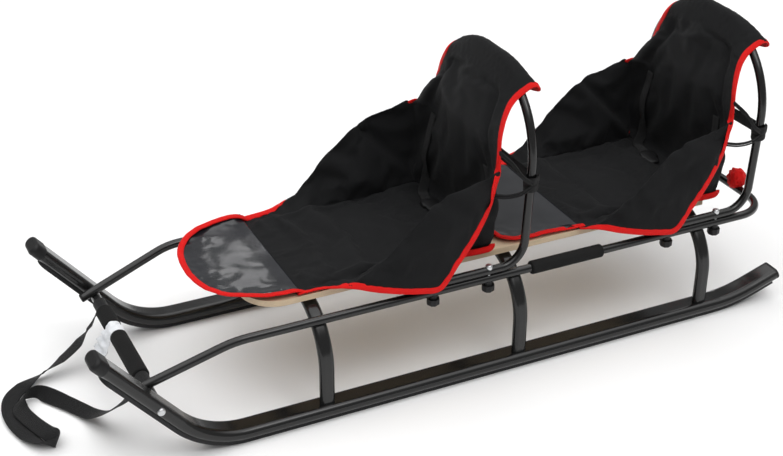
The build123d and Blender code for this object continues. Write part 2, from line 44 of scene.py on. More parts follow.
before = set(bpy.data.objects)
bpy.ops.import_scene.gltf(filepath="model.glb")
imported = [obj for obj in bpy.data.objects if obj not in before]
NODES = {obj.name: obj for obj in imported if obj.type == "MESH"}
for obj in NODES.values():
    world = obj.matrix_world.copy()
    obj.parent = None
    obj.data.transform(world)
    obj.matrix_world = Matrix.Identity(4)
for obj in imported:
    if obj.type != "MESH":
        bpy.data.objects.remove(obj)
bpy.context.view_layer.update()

# Seats: uprights' x, the vinyl seam ahead of them, the foot panel's length and its outline's roundness,
# which is 1 for an ellipse
SEATS = {"front": (-0.100, 0.370, 0.134, 0.85), "rear": (-0.535, 0.317, 0.140, 0.30)}
SIDES = {"left": 1, "right": -1}
SLATS = ("slat_1", "slat_2", "slat_3", "slat_4")
SLAT_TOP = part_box("slat_1")[1].z
BASE_Z = SLAT_TOP + 0.0012
BACK_FOOT = 0.042
WAIST_LEAN = 0.004  # how far the back leans from its foot to the waist
WAIST_Z = 0.342
RAIL_HALF = 0.156  # uprights' y
UPRIGHT_FOOT_Z = 0.166
RECLINE = math.radians(2.5)
UP = Vector((0, 0, 1))
CROWN_RADIUS = 0.135
CROWN_START = 0.021  # half of the hoop's straight top
FOOT_HALF = 0.126
FOOT_SWEEP = 0.985 * math.pi  # the foot panel's rim, just short of a half turn
FOOT_LIFT = 0.0040  # the panel's middle height above the base
FOOT_CURL = {"front": 1.0, "rear": 0.4}
FOOT_BINDING_END = (-0.014, 0.1285, 0.0036)  # ahead of the seam, y, above the base
SEAM_LAP = 0.006  # how far the foot panel reaches under the cover
BACK_STRAP_Z = 0.315
WEBBING_HALF = 0.0010  # half thickness of belts, back straps and their windings
TUFT_RADIUS = 0.0190
TUFT_RISE = 0.017  # the fluffy ties' middle above the rail's

# Cover sections: ahead of the upright, wing foot y, crest y, crest z, free edge y, free edge z
COVER_SECTIONS = (
    (0.380, 0.112, 0.122, 0.1930, 0.129, 0.1965),
    (0.330, 0.112, 0.124, 0.1940, 0.131, 0.1980),
    (0.307, 0.113, 0.131, 0.1950, 0.138, 0.1970),
    (0.287, 0.114, 0.139, 0.2010, 0.149, 0.1970),
    (0.260, 0.116, 0.145, 0.2160, 0.159, 0.1900),
    (0.233, 0.117, 0.148, 0.2390, 0.166, 0.1840),
    (0.205, 0.117, 0.150, 0.2670, 0.170, 0.1780),
    (0.178, 0.116, 0.150, 0.2910, 0.1725, 0.1735),
    (0.164, 0.1155, 0.150, 0.3030, 0.1740, 0.1715),
    (0.153, 0.115, 0.150, 0.3120, 0.1742, 0.1735),
    (0.140, 0.115, 0.150, 0.3200, 0.1730, 0.1865),
    (0.128, 0.116, 0.150, 0.3235, 0.1705, 0.2020),
    (0.105, 0.119, 0.1505, 0.3280, 0.1685, 0.2300),
    (0.085, 0.122, 0.151, 0.3320, 0.1655, 0.2570),
    (0.070, 0.124, 0.151, 0.3360, 0.1620, 0.2800),
    (0.059, 0.125, 0.151, 0.3390, 0.1590, 0.3020),
    (0.052, 0.1255, 0.1505, 0.3410, 0.1558, 0.3235),
    (0.042, 0.1255, 0.150, 0.3420, 0.1515, 0.3392),
)
# Tape along the foot of the wings behind their flaps: ahead, y, z above the base
FOOT_TAPE = ((0.092, 0.1290, 0.0015), (0.076, 0.1308, 0.0015), (0.060, 0.1315, 0.0015),
             (0.047, 0.1312, 0.0015), (0.0385, 0.1292, 0.0030), (0.0370, 0.1276, 0.0110))
# Back rows from the waist over the hoop's top tube: ahead and z at the middle, then ahead, z and half
# width at the left edge and at the right edge
BACK_ROWS = (
    (0.046, 0.3420, 0.046, 0.3420, 0.150, 0.044, 0.3300, 0.156),
    (0.042, 0.3720, 0.046, 0.3750, 0.148, 0.022, 0.3320, 0.155),
    (0.034, 0.3980, 0.040, 0.3970, 0.140, 0.006, 0.3480, 0.151),
    (0.023, 0.4240, 0.026, 0.4170, 0.127, 0.008, 0.3880, 0.132),
    (0.010, 0.4480, 0.012, 0.4310, 0.118, 0.007, 0.4210, 0.118),
    (-0.003, 0.4700, -0.003, 0.4410, 0.113, 0.000, 0.4435, 0.110),
    (-0.013, 0.4825, -0.015, 0.4480, 0.113, -0.014, 0.4480, 0.112),
    (-0.026, 0.4800, -0.028, 0.4550, 0.114, -0.026, 0.4480, 0.109),
    (-0.037, 0.4620, -0.038, 0.4510, 0.114, -0.037, 0.4420, 0.110),
    (-0.042, 0.4440, -0.0405, 0.4470, 0.113, -0.040, 0.4380, 0.110),
    (-0.042, 0.4260, -0.0410, 0.4435, 0.112, -0.041, 0.4345, 0.109),
)
LEAN_BLEND = 0.05  # how far ahead of the back the sections start to lean with it
FLAP_BULGE = 0.004
FLAP_FULL = 0.08  # height of a flap that bulges fully
# Vertices across a cover's section: steps of flap, wall and half base, the places of crest and wing foot
FLAP_STEPS = 10
WALL_STEPS = 20
BASE_STEPS = 20
CREST = FLAP_STEPS
WING_FOOT = FLAP_STEPS + WALL_STEPS
ACROSS = 2 * BASE_STEPS
COVER_STEP = 0.006
FAR_TUCK = 0.010  # how far the right wing's crest is tucked in at the waist
TUCK_REACH = 0.010  # how far ahead of the back the tuck begins
BACK_SAG = 0.008  # how far the back panel's middle hangs behind its edges
SAG_FADE = 0.09  # length above the waist over which the sag goes
CROWN_Z = 0.41  # from here up the hood takes the hoop's outline
CROWN_BLEND = 0.05
EDGE_BEND = 1.6  # power of the hood's fall towards its edges
FAR_BEND = 7.0  # what the right edge adds to that power below the crown
FAR_BEND_Z = 0.43
FAR_BEND_BLEND = 0.06
HELD_ROWS = (0.012, -0.034)  # back rows that lie on the tube, between these distances ahead of the upright
# Sewn creases and raised folds, mirrored left and right: from, to (ahead, y, z), depth, half width
COVER_FOLDS = (
    ((0.150, 0.150, 0.318), (0.062, 0.130, 0.230), 0.0070, 0.010),
    ((0.056, 0.118, 0.195), (0.180, 0.050, 0.193), -0.0050, 0.013),
    ((0.062, 0.108, 0.195), (0.170, 0.096, 0.193), -0.0045, 0.010),
    ((0.046, 0.102, 0.212), (0.046, 0.058, 0.290), 0.0080, 0.013),
    ((0.046, 0.132, 0.270), (0.040, 0.070, 0.372), 0.0060, 0.012),
    ((0.046, 0.118, 0.330), (0.010, 0.070, 0.445), 0.0060, 0.010),
    ((0.044, 0.030, 0.300), (0.002, 0.040, 0.462), 0.0050, 0.012),
    ((0.258, 0.112, 0.194), (0.238, 0.000, 0.193), -0.0060, 0.014),
    ((0.312, 0.112, 0.194), (0.294, 0.000, 0.193), -0.0060, 0.012),
    ((0.344, 0.112, 0.194), (0.336, 0.000, 0.193), -0.0045, 0.009),
    ((0.205, 0.060, 0.193), (0.150, 0.000, 0.193), -0.0050, 0.014),
    ((0.290, 0.100, 0.193), (0.110, 0.103, 0.193), -0.0050, 0.009),
    ((0.270, 0.125, 0.214), (0.110, 0.126, 0.222), -0.0050, 0.011),
    ((0.044, 0.078, 0.210), (0.044, 0.014, 0.216), 0.0080, 0.016),
)
COVER_RIPPLES = ((0.0030, 13.0), (0.0014, 34.0))  # depth, waves for each metre
BASE_SLACK = 0.6  # how much of the ripples the flat base takes
EDGE_MARGIN = 6  # vertices beside a bound edge that fold less
SEAM_MARGIN = 4  # sections beside the vinyl seam that fold less
TUBE_FREE = 0.2  # how freely the rows on the tube fold
CREST_HOLD = 0.5  # how firmly the wings' crests and feet are held
WING_FOOT_HOLD = 0.7
EVENING = (0.15, 0.22, 0.26, 0.22, 0.15)  # weights of a bound edge's points and their neighbours
EDGE_STEP = 0.004
PUCKER = 0.0005
PUCKER_SCALE = 90.0
SLACK_FRAMES = 24
SLACK_SHARE = 0.05  # how much more cloth there is than the stretched form needs
SLACK_REACH = 0.010  # the furthest that the slack cloth may move
# Belts: down the back panel at these heights, then over the base
BELT_Y = 0.102
BELT_HEIGHTS = (0.330, 0.306, 0.282, 0.258, 0.234, 0.212)
BELT_ENDS = ((0.052, 0.090), (0.057, 0.074), (0.060, 0.060), (0.062, 0.048))  # over the base: ahead, y
BELT_WIDTH = 0.017
BELT_GAP = 0.0028  # the belt's middle above the cloth
BELT_TURN_Z = 0.235  # below this the belt turns flat on the base
BELT_TURN = 0.03
BUCKLE_HALVES = ((0.000, 0.0125), (0.003, 0.0150), (0.020, 0.0150), (0.023, 0.0115), (0.034, 0.0105),
                 (0.040, 0.0070))  # along the buckle's tongue, half width
BUCKLE_HALF_THICK = 0.0035
BUCKLE_LAP = 0.006  # how far the tongue overlaps the belt's end
BUCKLE_RISE = 0.001
BUCKLE_SIDES = 12
# Elastic loops from an upright's winding to the cover's rear edge on each side: ahead, y, z
LOWER_LOOP = ((-0.004, 0.165, 0.313), (0.018, 0.167, 0.306), (0.040, 0.161, 0.303), (0.058, 0.1535, 0.305))
ELASTIC_LOOPS = {
    "left": (((-0.004, 0.165, 0.318), (0.012, 0.168, 0.330), (0.032, 0.163, 0.357), (0.049, 0.150, 0.375)),
             LOWER_LOOP),
    "right": (((-0.004, 0.165, 0.318), (0.006, 0.167, 0.328), (0.014, 0.162, 0.334), (0.018, 0.154, 0.338)),
              LOWER_LOOP),
}

# Tow strap: the route's points, and how far the band is rolled from flat, in degrees
STRAP_ROUTE = (
    (0.5184, -0.1120, 0.0932, -20), (0.532, -0.112, 0.0690, -45), (0.553, -0.109, 0.046, -5),
    (0.583, -0.104, 0.027, -10), (0.616, -0.100, 0.013, -45), (0.652, -0.089, 0.0048, 4),
    (0.676, -0.067, 0.0042, 8), (0.686, -0.033, 0.0042, 8), (0.685, 0.006, 0.0042, 6),
    (0.675, 0.042, 0.0042, 4), (0.661, 0.072, 0.0070, 30), (0.645, 0.086, 0.0125, 75),
    (0.635, 0.076, 0.0125, 66), (0.648, 0.051, 0.0095, 18), (0.662, 0.012, 0.0090, 8),
    (0.672, -0.023, 0.0090, 12), (0.666, -0.047, 0.0125, 50), (0.642, -0.058, 0.0130, 80),
    (0.627, -0.044, 0.0125, 130), (0.605, -0.017, 0.0090, 160), (0.587, 0.012, 0.0080, 165),
    (0.575, 0.040, 0.012, 168), (0.564, 0.070, 0.030, 182), (0.552, 0.095, 0.055, 180),
    (0.537, 0.111, 0.0775, 180), (0.5184, 0.1120, 0.0932, 180),
)

# Blank tag: turn round the crossbar, gap to it, flare and drift of the hanging end
TAG_TURN = 1.3 * math.pi
TAG_GAP = 0.0022
TAG_FLARE = 1.5
TAG_DRIFT = 0.018
TAG_RIPPLES = ((0.0060, 48.0), (0.0030, 110.0))  # depth, waves for each metre

# Camera of the photograph
IMAGE_WIDTH = 783
IMAGE_HEIGHT = 456
CAMERA_PLACE = (0.94439, 1.82769, 1.32391)
CAMERA_AZIMUTH = 153.7575
CAMERA_ELEVATION = 29.0999
CAMERA_ROLL = 0.6521
CAMERA_FOCAL_PIXELS = 1439.437
CAMERA_CENTRE = (397.72, 228.97)
SENSOR_WIDTH = 36.0

# Studio sky: from this height of the light's direction to that, from dim to bright
SKY_LOW = 0.55
SKY_HIGH = 0.85
SKY_DIM = 0.35
SKY_BRIGHT = 2.0


class SledSizes(bpy.types.PropertyGroup):
    """Sizes of the sewn and woven pieces."""

    cloth: bpy.props.FloatProperty(
        name="Cloth", description="Thickness of the cover cloth", default=0.0012, unit="LENGTH")
    binding_width: bpy.props.FloatProperty(
        name="Binding width", description="Width of the sewn edge binding", default=0.0105, unit="LENGTH")
    binding_thick: bpy.props.FloatProperty(
        name="Binding thickness", description="Thickness of the sewn edge binding", default=0.0034,
        unit="LENGTH")
    film: bpy.props.FloatProperty(
        name="Film", description="Thickness of the foot panels and the blank tag", default=0.0006,
        unit="LENGTH")
    strap_width: bpy.props.FloatProperty(
        name="Strap width", description="Width of the tow strap's webbing", default=0.025, unit="LENGTH")
    strap_thick: bpy.props.FloatProperty(
        name="Strap thickness", description="Thickness of the tow strap's webbing", default=0.0018,
        unit="LENGTH")


class SledColours(bpy.types.PropertyGroup):
    """Colours of the finishes."""

    enamel: bpy.props.FloatVectorProperty(
        name="Enamel", description="Gloss enamel on the tubes", size=3, subtype="COLOR",
        default=(0.006, 0.006, 0.006))
    plastic: bpy.props.FloatVectorProperty(
        name="Plastic", description="Caps, plugs, knobs and wear strips", size=3, subtype="COLOR",
        default=(0.006, 0.006, 0.0065))
    zinc: bpy.props.FloatVectorProperty(
        name="Zinc", description="Bolt heads", size=3, subtype="COLOR", default=(0.62, 0.63, 0.64))
    foam: bpy.props.FloatVectorProperty(
        name="Foam", description="Foam grips", size=3, subtype="COLOR", default=(0.008, 0.008, 0.008))
    webbing: bpy.props.FloatVectorProperty(
        name="Webbing", description="Tow strap, belts and back straps", size=3, subtype="COLOR",
        default=(0.008, 0.008, 0.0085))
    wood: bpy.props.FloatVectorProperty(
        name="Wood", description="Deck slats", size=3, subtype="COLOR", default=(0.72, 0.56, 0.38))
    film: bpy.props.FloatVectorProperty(
        name="Film", description="Blank tag", size=3, subtype="COLOR", default=(0.80, 0.82, 0.85))
    binding: bpy.props.FloatVectorProperty(
        name="Binding", description="Sewn edge binding and rear ties", size=3, subtype="COLOR",
        default=(0.78, 0.006, 0.005))
    cloth: bpy.props.FloatVectorProperty(
        name="Cloth", description="Seat covers", size=3, subtype="COLOR", default=(0.0095, 0.0097, 0.0103))
    vinyl: bpy.props.FloatVectorProperty(
        name="Vinyl", description="Glossy foot panels", size=3, subtype="COLOR",
        default=(0.013, 0.014, 0.017))


def sizes():
    return bpy.context.scene.sled_sizes


def colours():
    return bpy.context.scene.sled_colours


def add_object(name, data):
    """An object in the scene."""
    made = bpy.data.objects.new(name, data)
    bpy.context.scene.collection.objects.link(made)
    return made


def tuned(node, **values):
    """Sets a node's input sockets, with _ for a space in their names; returns the node."""
    for socket, value in values.items():
        node.inputs[socket.replace("_", " ")].default_value = value
    return node


def node_group(name, inputs, outputs):
    """An empty shader node group with number sockets; returns the group and its two end nodes."""
    group = bpy.data.node_groups.new(name, "ShaderNodeTree")
    for socket, value in inputs.items():
        made = group.interface.new_socket(socket, in_out="INPUT", socket_type="NodeSocketFloat")
        made.default_value = value
    for socket in outputs:
        group.interface.new_socket(socket, in_out="OUTPUT", socket_type="NodeSocketFloat")
    return group, group.nodes.new("NodeGroupInput"), group.nodes.new("NodeGroupOutput")


def math_node(group, operation, first, second):
    """A sum or product of two outputs inside a group; returns its output."""
    node = group.nodes.new("ShaderNodeMath")
    node.operation = operation
    group.links.new(first, node.inputs[0])
    group.links.new(second, node.inputs[1])
    return node.outputs[0]


def weave_group():
    """Crossed threads: a height for the bump and a mottle for the shades."""
    if "weave" in bpy.data.node_groups:
        return bpy.data.node_groups["weave"]
    group, given, result = node_group("weave", {"Threads per metre": 900.0}, ("Height", "Mottle"))
    nodes, links = group.nodes, group.links
    place = nodes.new("ShaderNodeTexCoord")
    waves = []
    for direction in ("X", "Y", "Z"):
        wave = tuned(nodes.new("ShaderNodeTexWave"), Distortion=0.6, Detail_Scale=1.5)
        wave.bands_direction = direction
        links.new(place.outputs["Object"], wave.inputs["Vector"])
        links.new(given.outputs["Threads per metre"], wave.inputs["Scale"])
        waves.append(wave.outputs["Fac"])
    crossed = math_node(group, "ADD", waves[0], waves[1])
    mottle = tuned(nodes.new("ShaderNodeTexNoise"), Scale=22.0, Detail=5.0)
    links.new(place.outputs["Object"], mottle.inputs["Vector"])
    links.new(math_node(group, "ADD", crossed, waves[2]), result.inputs["Height"])
    links.new(mottle.outputs["Fac"], result.inputs["Mottle"])
    return group


def grain_group():
    """Fine and coarse speckle: a height for the bump, a mottle and a wear mask on exposed edges."""
    if "speckle" in bpy.data.node_groups:
        return bpy.data.node_groups["speckle"]
    group, given, result = node_group(
        "speckle", {"Fine scale": 900.0, "Coarse scale": 18.0}, ("Height", "Mottle", "Wear"))
    nodes, links = group.nodes, group.links
    place = nodes.new("ShaderNodeTexCoord")
    fine = nodes.new("ShaderNodeTexNoise")
    coarse = tuned(nodes.new("ShaderNodeTexNoise"), Detail=6.0)
    for texture, socket in ((fine, "Fine scale"), (coarse, "Coarse scale")):
        links.new(place.outputs["Object"], texture.inputs["Vector"])
        links.new(given.outputs[socket], texture.inputs["Scale"])
    geometry = nodes.new("ShaderNodeNewGeometry")
    edge = tuned(nodes.new("ShaderNodeMapRange"), From_Min=0.54, From_Max=0.62)
    links.new(geometry.outputs["Pointiness"], edge.inputs["Value"])
    worn = math_node(group, "MULTIPLY", edge.outputs["Result"], coarse.outputs["Fac"])
    links.new(fine.outputs["Fac"], result.inputs["Height"])
    links.new(coarse.outputs["Fac"], result.inputs["Mottle"])
    links.new(worn, result.inputs["Wear"])
    return group


class Finish:
    """A material under construction: its Principled shader and helpers that wire effects to it."""

    def __init__(self, name, roughness, **sockets):
        self.material = bpy.data.materials.new(name)
        self.material.use_nodes = True
        self.nodes = self.material.node_tree.nodes
        self.links = self.material.node_tree.links
        self.shader = tuned(self.nodes["Principled BSDF"], Roughness=roughness, **sockets)

    def group(self, group, **values):
        """An effect's node in this material; returns its outputs."""
        node = self.nodes.new("ShaderNodeGroup")
        node.node_tree = group
        return tuned(node, **values).outputs

    def shades(self, factor, colour, dark, light):
        """Base colour between two multiples of a colour."""
        ramp = self.nodes.new("ShaderNodeMix")
        ramp.data_type = "RGBA"
        ramp.inputs["A"].default_value = (*scaled(colour, dark), 1)
        ramp.inputs["B"].default_value = (*scaled(colour, light), 1)
        self.links.new(factor, ramp.inputs["Factor"])
        self.links.new(ramp.outputs["Result"], self.shader.inputs["Base Color"])

    def rough(self, factor, low, high):
        """Roughness between two values."""
        spread = tuned(self.nodes.new("ShaderNodeMapRange"), To_Min=low, To_Max=high)
        self.links.new(factor, spread.inputs["Value"])
        self.links.new(spread.outputs["Result"], self.shader.inputs["Roughness"])

    def bump(self, height, distance, strength):
        """Small relief."""
        bump = tuned(self.nodes.new("ShaderNodeBump"), Distance=distance, Strength=strength)
        self.links.new(height, bump.inputs["Height"])
        self.links.new(bump.outputs["Normal"], self.shader.inputs["Normal"])


def scaled(colour, factor):
    return tuple(min(1.0, channel * factor) for channel in colour)


def enamel():
    finish = Finish("gloss_enamel", 0.2, Specular_IOR_Level=0.4, Coat_Weight=0.15, Coat_Roughness=0.12)
    speckle = finish.group(grain_group(), Fine_scale=420.0, Coarse_scale=14.0)
    finish.shades(speckle["Wear"], colours().enamel, 1.0, 6.0)
    finish.rough(speckle["Mottle"], 0.12, 0.26)
    finish.bump(speckle["Height"], 0.00006, 0.5)
    return finish.material


def moulded_plastic():
    finish = Finish("moulded_plastic", 0.5, Specular_IOR_Level=0.3)
    speckle = finish.group(grain_group(), Fine_scale=2200.0, Coarse_scale=24.0)
    finish.shades(speckle["Wear"], colours().plastic, 1.0, 4.0)
    finish.rough(speckle["Mottle"], 0.40, 0.60)
    finish.bump(speckle["Height"], 0.00012, 0.7)
    return finish.material


def bright_zinc():
    finish = Finish("bright_zinc", 0.3, Metallic=1.0)
    speckle = finish.group(grain_group(), Fine_scale=1800.0, Coarse_scale=60.0)
    finish.shades(speckle["Mottle"], colours().zinc, 0.7, 1.15)
    finish.rough(speckle["Mottle"], 0.22, 0.42)
    return finish.material


def grip_foam():
    finish = Finish("grip_foam", 0.85, Specular_IOR_Level=0.2)
    speckle = finish.group(grain_group(), Fine_scale=1400.0, Coarse_scale=30.0)
    finish.shades(speckle["Mottle"], colours().foam, 0.75, 1.5)
    finish.bump(speckle["Height"], 0.0004, 0.8)
    return finish.material


def black_webbing():
    finish = Finish("black_webbing", 0.62, Specular_IOR_Level=0.25, Sheen_Weight=0.05, Sheen_Roughness=0.4)
    weave = finish.group(weave_group(), Threads_per_metre=420.0)
    finish.shades(weave["Mottle"], colours().webbing, 0.7, 1.6)
    finish.bump(weave["Height"], 0.0005, 0.8)
    return finish.material


def seat_cloth():
    finish = Finish("seat_cloth", 0.66, Specular_IOR_Level=0.10, Sheen_Weight=0.03, Sheen_Roughness=0.45)
    weave = finish.group(weave_group(), Threads_per_metre=1100.0)
    finish.shades(weave["Mottle"], colours().cloth, 0.82, 1.25)
    finish.rough(weave["Mottle"], 0.60, 0.74)
    finish.bump(weave["Height"], 0.00012, 0.6)
    return finish.material


def binding_tape():
    finish = Finish("binding_tape", 0.55, Specular_IOR_Level=0.2)
    weave = finish.group(weave_group(), Threads_per_metre=700.0)
    finish.shades(weave["Mottle"], colours().binding, 0.8, 1.12)
    finish.bump(weave["Height"], 0.0003, 0.6)
    return finish.material


def foot_vinyl_film():
    finish = Finish("foot_vinyl_film", 0.16, Specular_IOR_Level=0.4, Coat_Weight=0.2, Coat_Roughness=0.05)
    speckle = finish.group(grain_group(), Fine_scale=160.0, Coarse_scale=26.0)
    finish.shades(speckle["Mottle"], colours().vinyl, 0.7, 1.7)
    finish.rough(speckle["Mottle"], 0.10, 0.22)
    finish.bump(speckle["Height"], 0.0006, 0.15)
    return finish.material


def pale_wood():
    finish = Finish("pale_wood", 0.55)
    place = finish.nodes.new("ShaderNodeTexCoord")
    stretch = tuned(finish.nodes.new("ShaderNodeMapping"), Scale=(2.0, 26.0, 26.0))
    texture = tuned(finish.nodes.new("ShaderNodeTexNoise"), Scale=7.0, Detail=8.0, Distortion=0.8)
    finish.links.new(place.outputs["Object"], stretch.inputs["Vector"])
    finish.links.new(stretch.outputs["Vector"], texture.inputs["Vector"])
    grain = texture.outputs["Fac"]
    finish.shades(grain, colours().wood, 0.72, 1.18)
    finish.rough(grain, 0.42, 0.66)
    finish.bump(grain, 0.0004, 0.5)
    return finish.material


def white_film():
    finish = Finish("white_film", 0.38)
    speckle = finish.group(grain_group(), Fine_scale=700.0, Coarse_scale=40.0)
    finish.shades(speckle["Mottle"], colours().film, 0.9, 1.0)
    finish.bump(speckle["Height"], 0.0001, 0.5)
    return finish.material


def paint(material, *names):
    """Gives CAD nodes a finish."""
    for name in names:
        mesh = NODES[name].data
        mesh.materials.clear()
        mesh.materials.append(material)


def piece(name, points, faces, material, slot, replaces=()):
    """A mesh piece that rides on the sled."""
    mesh = bpy.data.meshes.new(name)
    mesh.from_pydata([tuple(point) for point in points], [], faces)
    mesh.validate()
    mesh.materials.append(material)
    mesh.polygons.foreach_set("use_smooth", [True] * len(mesh.polygons))
    made = add_object(name, mesh)
    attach(made, "root")
    if replaces:
        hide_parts(*replaces)
    return made


def apply_modifiers(made):
    """Bakes an object's modifiers into its mesh."""
    bpy.context.view_layer.update()
    final = bpy.data.meshes.new_from_object(made.evaluated_get(bpy.context.evaluated_depsgraph_get()))
    made.modifiers.clear()
    old, made.data = made.data, final
    bpy.data.meshes.remove(old)


def eased(table, at):
    """Rows of a table, looked up by their first column on a smooth curve through the rows."""
    rows = np.array(table)
    rows = rows[np.argsort(rows[:, 0])]
    keys, values = rows[:, 0], rows[:, 1:]
    slopes = np.gradient(values, keys, axis=0)
    index = int(np.clip(np.searchsorted(keys, at) - 1, 0, len(keys) - 2))
    step = keys[index + 1] - keys[index]
    t = (at - keys[index]) / step
    return ((1 + 2 * t) * (1 - t) ** 2 * values[index] + t * (1 - t) ** 2 * step * slopes[index]
            + t * t * (3 - 2 * t) * values[index + 1] + t * t * (t - 1) * step * slopes[index + 1])


def running_length(points):
    """The length along a line at each of its points."""
    steps = np.diff(np.array([tuple(point) for point in points]), axis=0)
    return np.concatenate([[0], np.cumsum(np.linalg.norm(steps, axis=1))])


def resampled(points, spacing):
    """Points at even steps along a line, on a smooth curve through it."""
    run = running_length(points)
    count = max(2, int(round(run[-1] / spacing)))
    table = np.column_stack([run, [tuple(point) for point in points]])
    return [Vector(eased(table, at)) for at in np.linspace(0, run[-1], count + 1)]


def clamped(value):
    """A value kept between 0 and 1."""
    return max(0.0, min(1.0, value))


def rounded_ring(half_width, half_thick, powers, sides):
    """Points (wide, thick) round a section: an ellipse where both powers are 1, squarer below that."""
    ring = []
    for k in range(sides):
        angle = 2 * math.pi * k / sides
        c, s = math.cos(angle), math.sin(angle)
        ring.append((math.copysign(abs(c) ** powers[0], c) * half_width,
                     math.copysign(abs(s) ** powers[1], s) * half_thick))
    return ring


def tube_faces(rings, sides, outward=False):
    """Faces of a tube of rings with closed ends; they look inward, or outward where that is asked for."""
    faces = []
    for start in range(0, (rings - 1) * sides, sides):
        for k in range(sides):
            here, after = start + k, start + (k + 1) % sides
            others = (after, after + sides, here + sides)
            faces.append((here, *(others if outward else others[::-1])))
    first, last = range(sides), range((rings - 1) * sides, rings * sides)
    ends = (first[::-1], last) if outward else (first, last[::-1])
    return faces + [tuple(end) for end in ends]


def swept_band(points, frames, half_width, half_thick, sides=10, shift=0.0, powers=(0.6, 0.8), outward=False):
    """Vertices and faces of a band with rounded edges along a line; its frames point to its inner side."""
    ring = rounded_ring(half_width, half_thick, powers, sides)
    vertices = [point + side * (wide + shift) + up * thick
                for point, side, up in zip(points, *frames) for wide, thick in ring]
    return vertices, tube_faces(len(points), sides, outward)


def tangents(points):
    """The direction of a line at each of its points."""
    after = [*points[1:], points[-1]]
    before = [points[0], *points[:-1]]
    return [(b - a).normalized() for a, b in zip(before, after)]


def band_frames(points, hints):
    """Directions square to a line at each point: one follows the hints, one stands on both."""
    across, normals = [], []
    for tangent, hint in zip(tangents(points), hints):
        side = (hint - tangent * hint.dot(tangent)).normalized()
        across.append(side)
        normals.append(tangent.cross(side).normalized())
    return across, normals


def route_line(name, route):
    """Points read from a smooth spline that has the route as its control points."""
    curve = bpy.data.curves.new(name, "CURVE")
    curve.dimensions = "3D"
    curve.resolution_u = 10
    spline = curve.splines.new("NURBS")
    spline.points.add(len(route) - 1)
    for point, place in zip(spline.points, route):
        point.co = (*place, 1.0)
    spline.order_u = 3
    spline.use_endpoint_u = True
    guide = add_object(name, curve)
    bpy.context.view_layer.update()
    line = bpy.data.meshes.new_from_object(guide)
    points = [vertex.co.copy() for vertex in line.vertices]
    bpy.data.meshes.remove(line)
    bpy.data.objects.remove(guide)
    bpy.data.curves.remove(curve)
    return points


class SLED_OT_frame(bpy.types.Operator):
    """Enamels the tubes and finishes the caps, plugs, knobs, wear strips and bolts"""

    bl_idname = "sled.frame"
    bl_label = "Frame"

    def execute(self, context):
        paint(enamel(), "runner_left", "runner_right", "arch_front", "arch_middle", "arch_rear",
              "side_rail", "crossbar", "front_hoop", "rear_hoop")
        paint(moulded_plastic(), *[f"{kind}_{side}" for side in SIDES
                                   for kind in ("nose_cap", "tail_plug", "rail_plug", "wear_strip")],
              *[f"{seat}_hoop_knobs" for seat in SEATS])
        paint(bright_zinc(), "crossbar_bolt_left", "crossbar_bolt_right",
              *[f"{seat}_hoop_bolts" for seat in SEATS])
        return {"FINISHED"}


class SLED_OT_deck(bpy.types.Operator):
    """Finishes the wooden slats"""

    bl_idname = "sled.deck"
    bl_label = "Deck"

    def execute(self, context):
        paint(pale_wood(), *SLATS)
        return {"FINISHED"}


class SLED_OT_grips(bpy.types.Operator):
    """Finishes the foam grips on the crossbar and the side rail"""

    bl_idname = "sled.grips"
    bl_label = "Grips"

    def execute(self, context):
        paint(grip_foam(), *[f"{kind}_{side}" for side in SIDES for kind in ("crossbar_grip", "side_grip")])
        return {"FINISHED"}


class SLED_OT_tow_strap(bpy.types.Operator):
    """Lays the tow strap on the snow as a flat band that rolls on its edge where it turns"""

    bl_idname = "sled.tow_strap"
    bl_label = "Tow strap"

    def execute(self, context):
        material = black_webbing()
        paint(material, "strap_anchor_left", "strap_anchor_right")
        line = route_line("tow_strap_guide", [row[:3] for row in STRAP_ROUTE])
        run = running_length(line)
        places = [run[min(range(len(line)), key=lambda i: (line[i] - Vector(row[:3])).length)]
                  for row in STRAP_ROUTE]
        rolls = np.interp(run, places, [math.radians(row[3]) for row in STRAP_ROUTE])
        hints = []
        for tangent, roll in zip(tangents(line), rolls):
            side = tangent.cross(UP).normalized()
            hints.append(side * math.cos(roll) + side.cross(tangent) * math.sin(roll))
        band = swept_band(line, band_frames(line, hints), sizes().strap_width / 2, sizes().strap_thick / 2)
        strap = piece("tow_strap_webbing", *band, material, "webbing", ["tow_strap"])
        return {"FINISHED"}


def height_share(z):
    """A height's share of the way from the base to the waist."""
    return (z - BASE_Z) / (WAIST_Z - BASE_Z)


def cover_half(ahead):
    """Half of a cover's section, from its free edge over the crest to the middle: (shift ahead, y, z)."""
    foot_y, crest_y, crest_z, edge_y, edge_z = eased(COVER_SECTIONS, ahead)
    points = []
    for k in range(FLAP_STEPS):
        t = k / FLAP_STEPS
        bulge = FLAP_BULGE * math.sin(math.pi * t) * min(1.0, (crest_z - edge_z) / FLAP_FULL)
        points.append((edge_y + (crest_y - edge_y) * t + bulge, edge_z + (crest_z - edge_z) * t))
    for k in range(WALL_STEPS):
        t = k / WALL_STEPS
        points.append((crest_y + (foot_y - crest_y) * t, crest_z + (BASE_Z - crest_z) * t ** 1.1))
    for k in range(BASE_STEPS + 1):
        points.append((foot_y * (1 - k / BASE_STEPS), BASE_Z))
    lean = WAIST_LEAN * clamped(1 - (ahead - BACK_FOOT) / LEAN_BLEND)
    return [(lean * max(0.0, height_share(z)), y, z) for y, z in points]


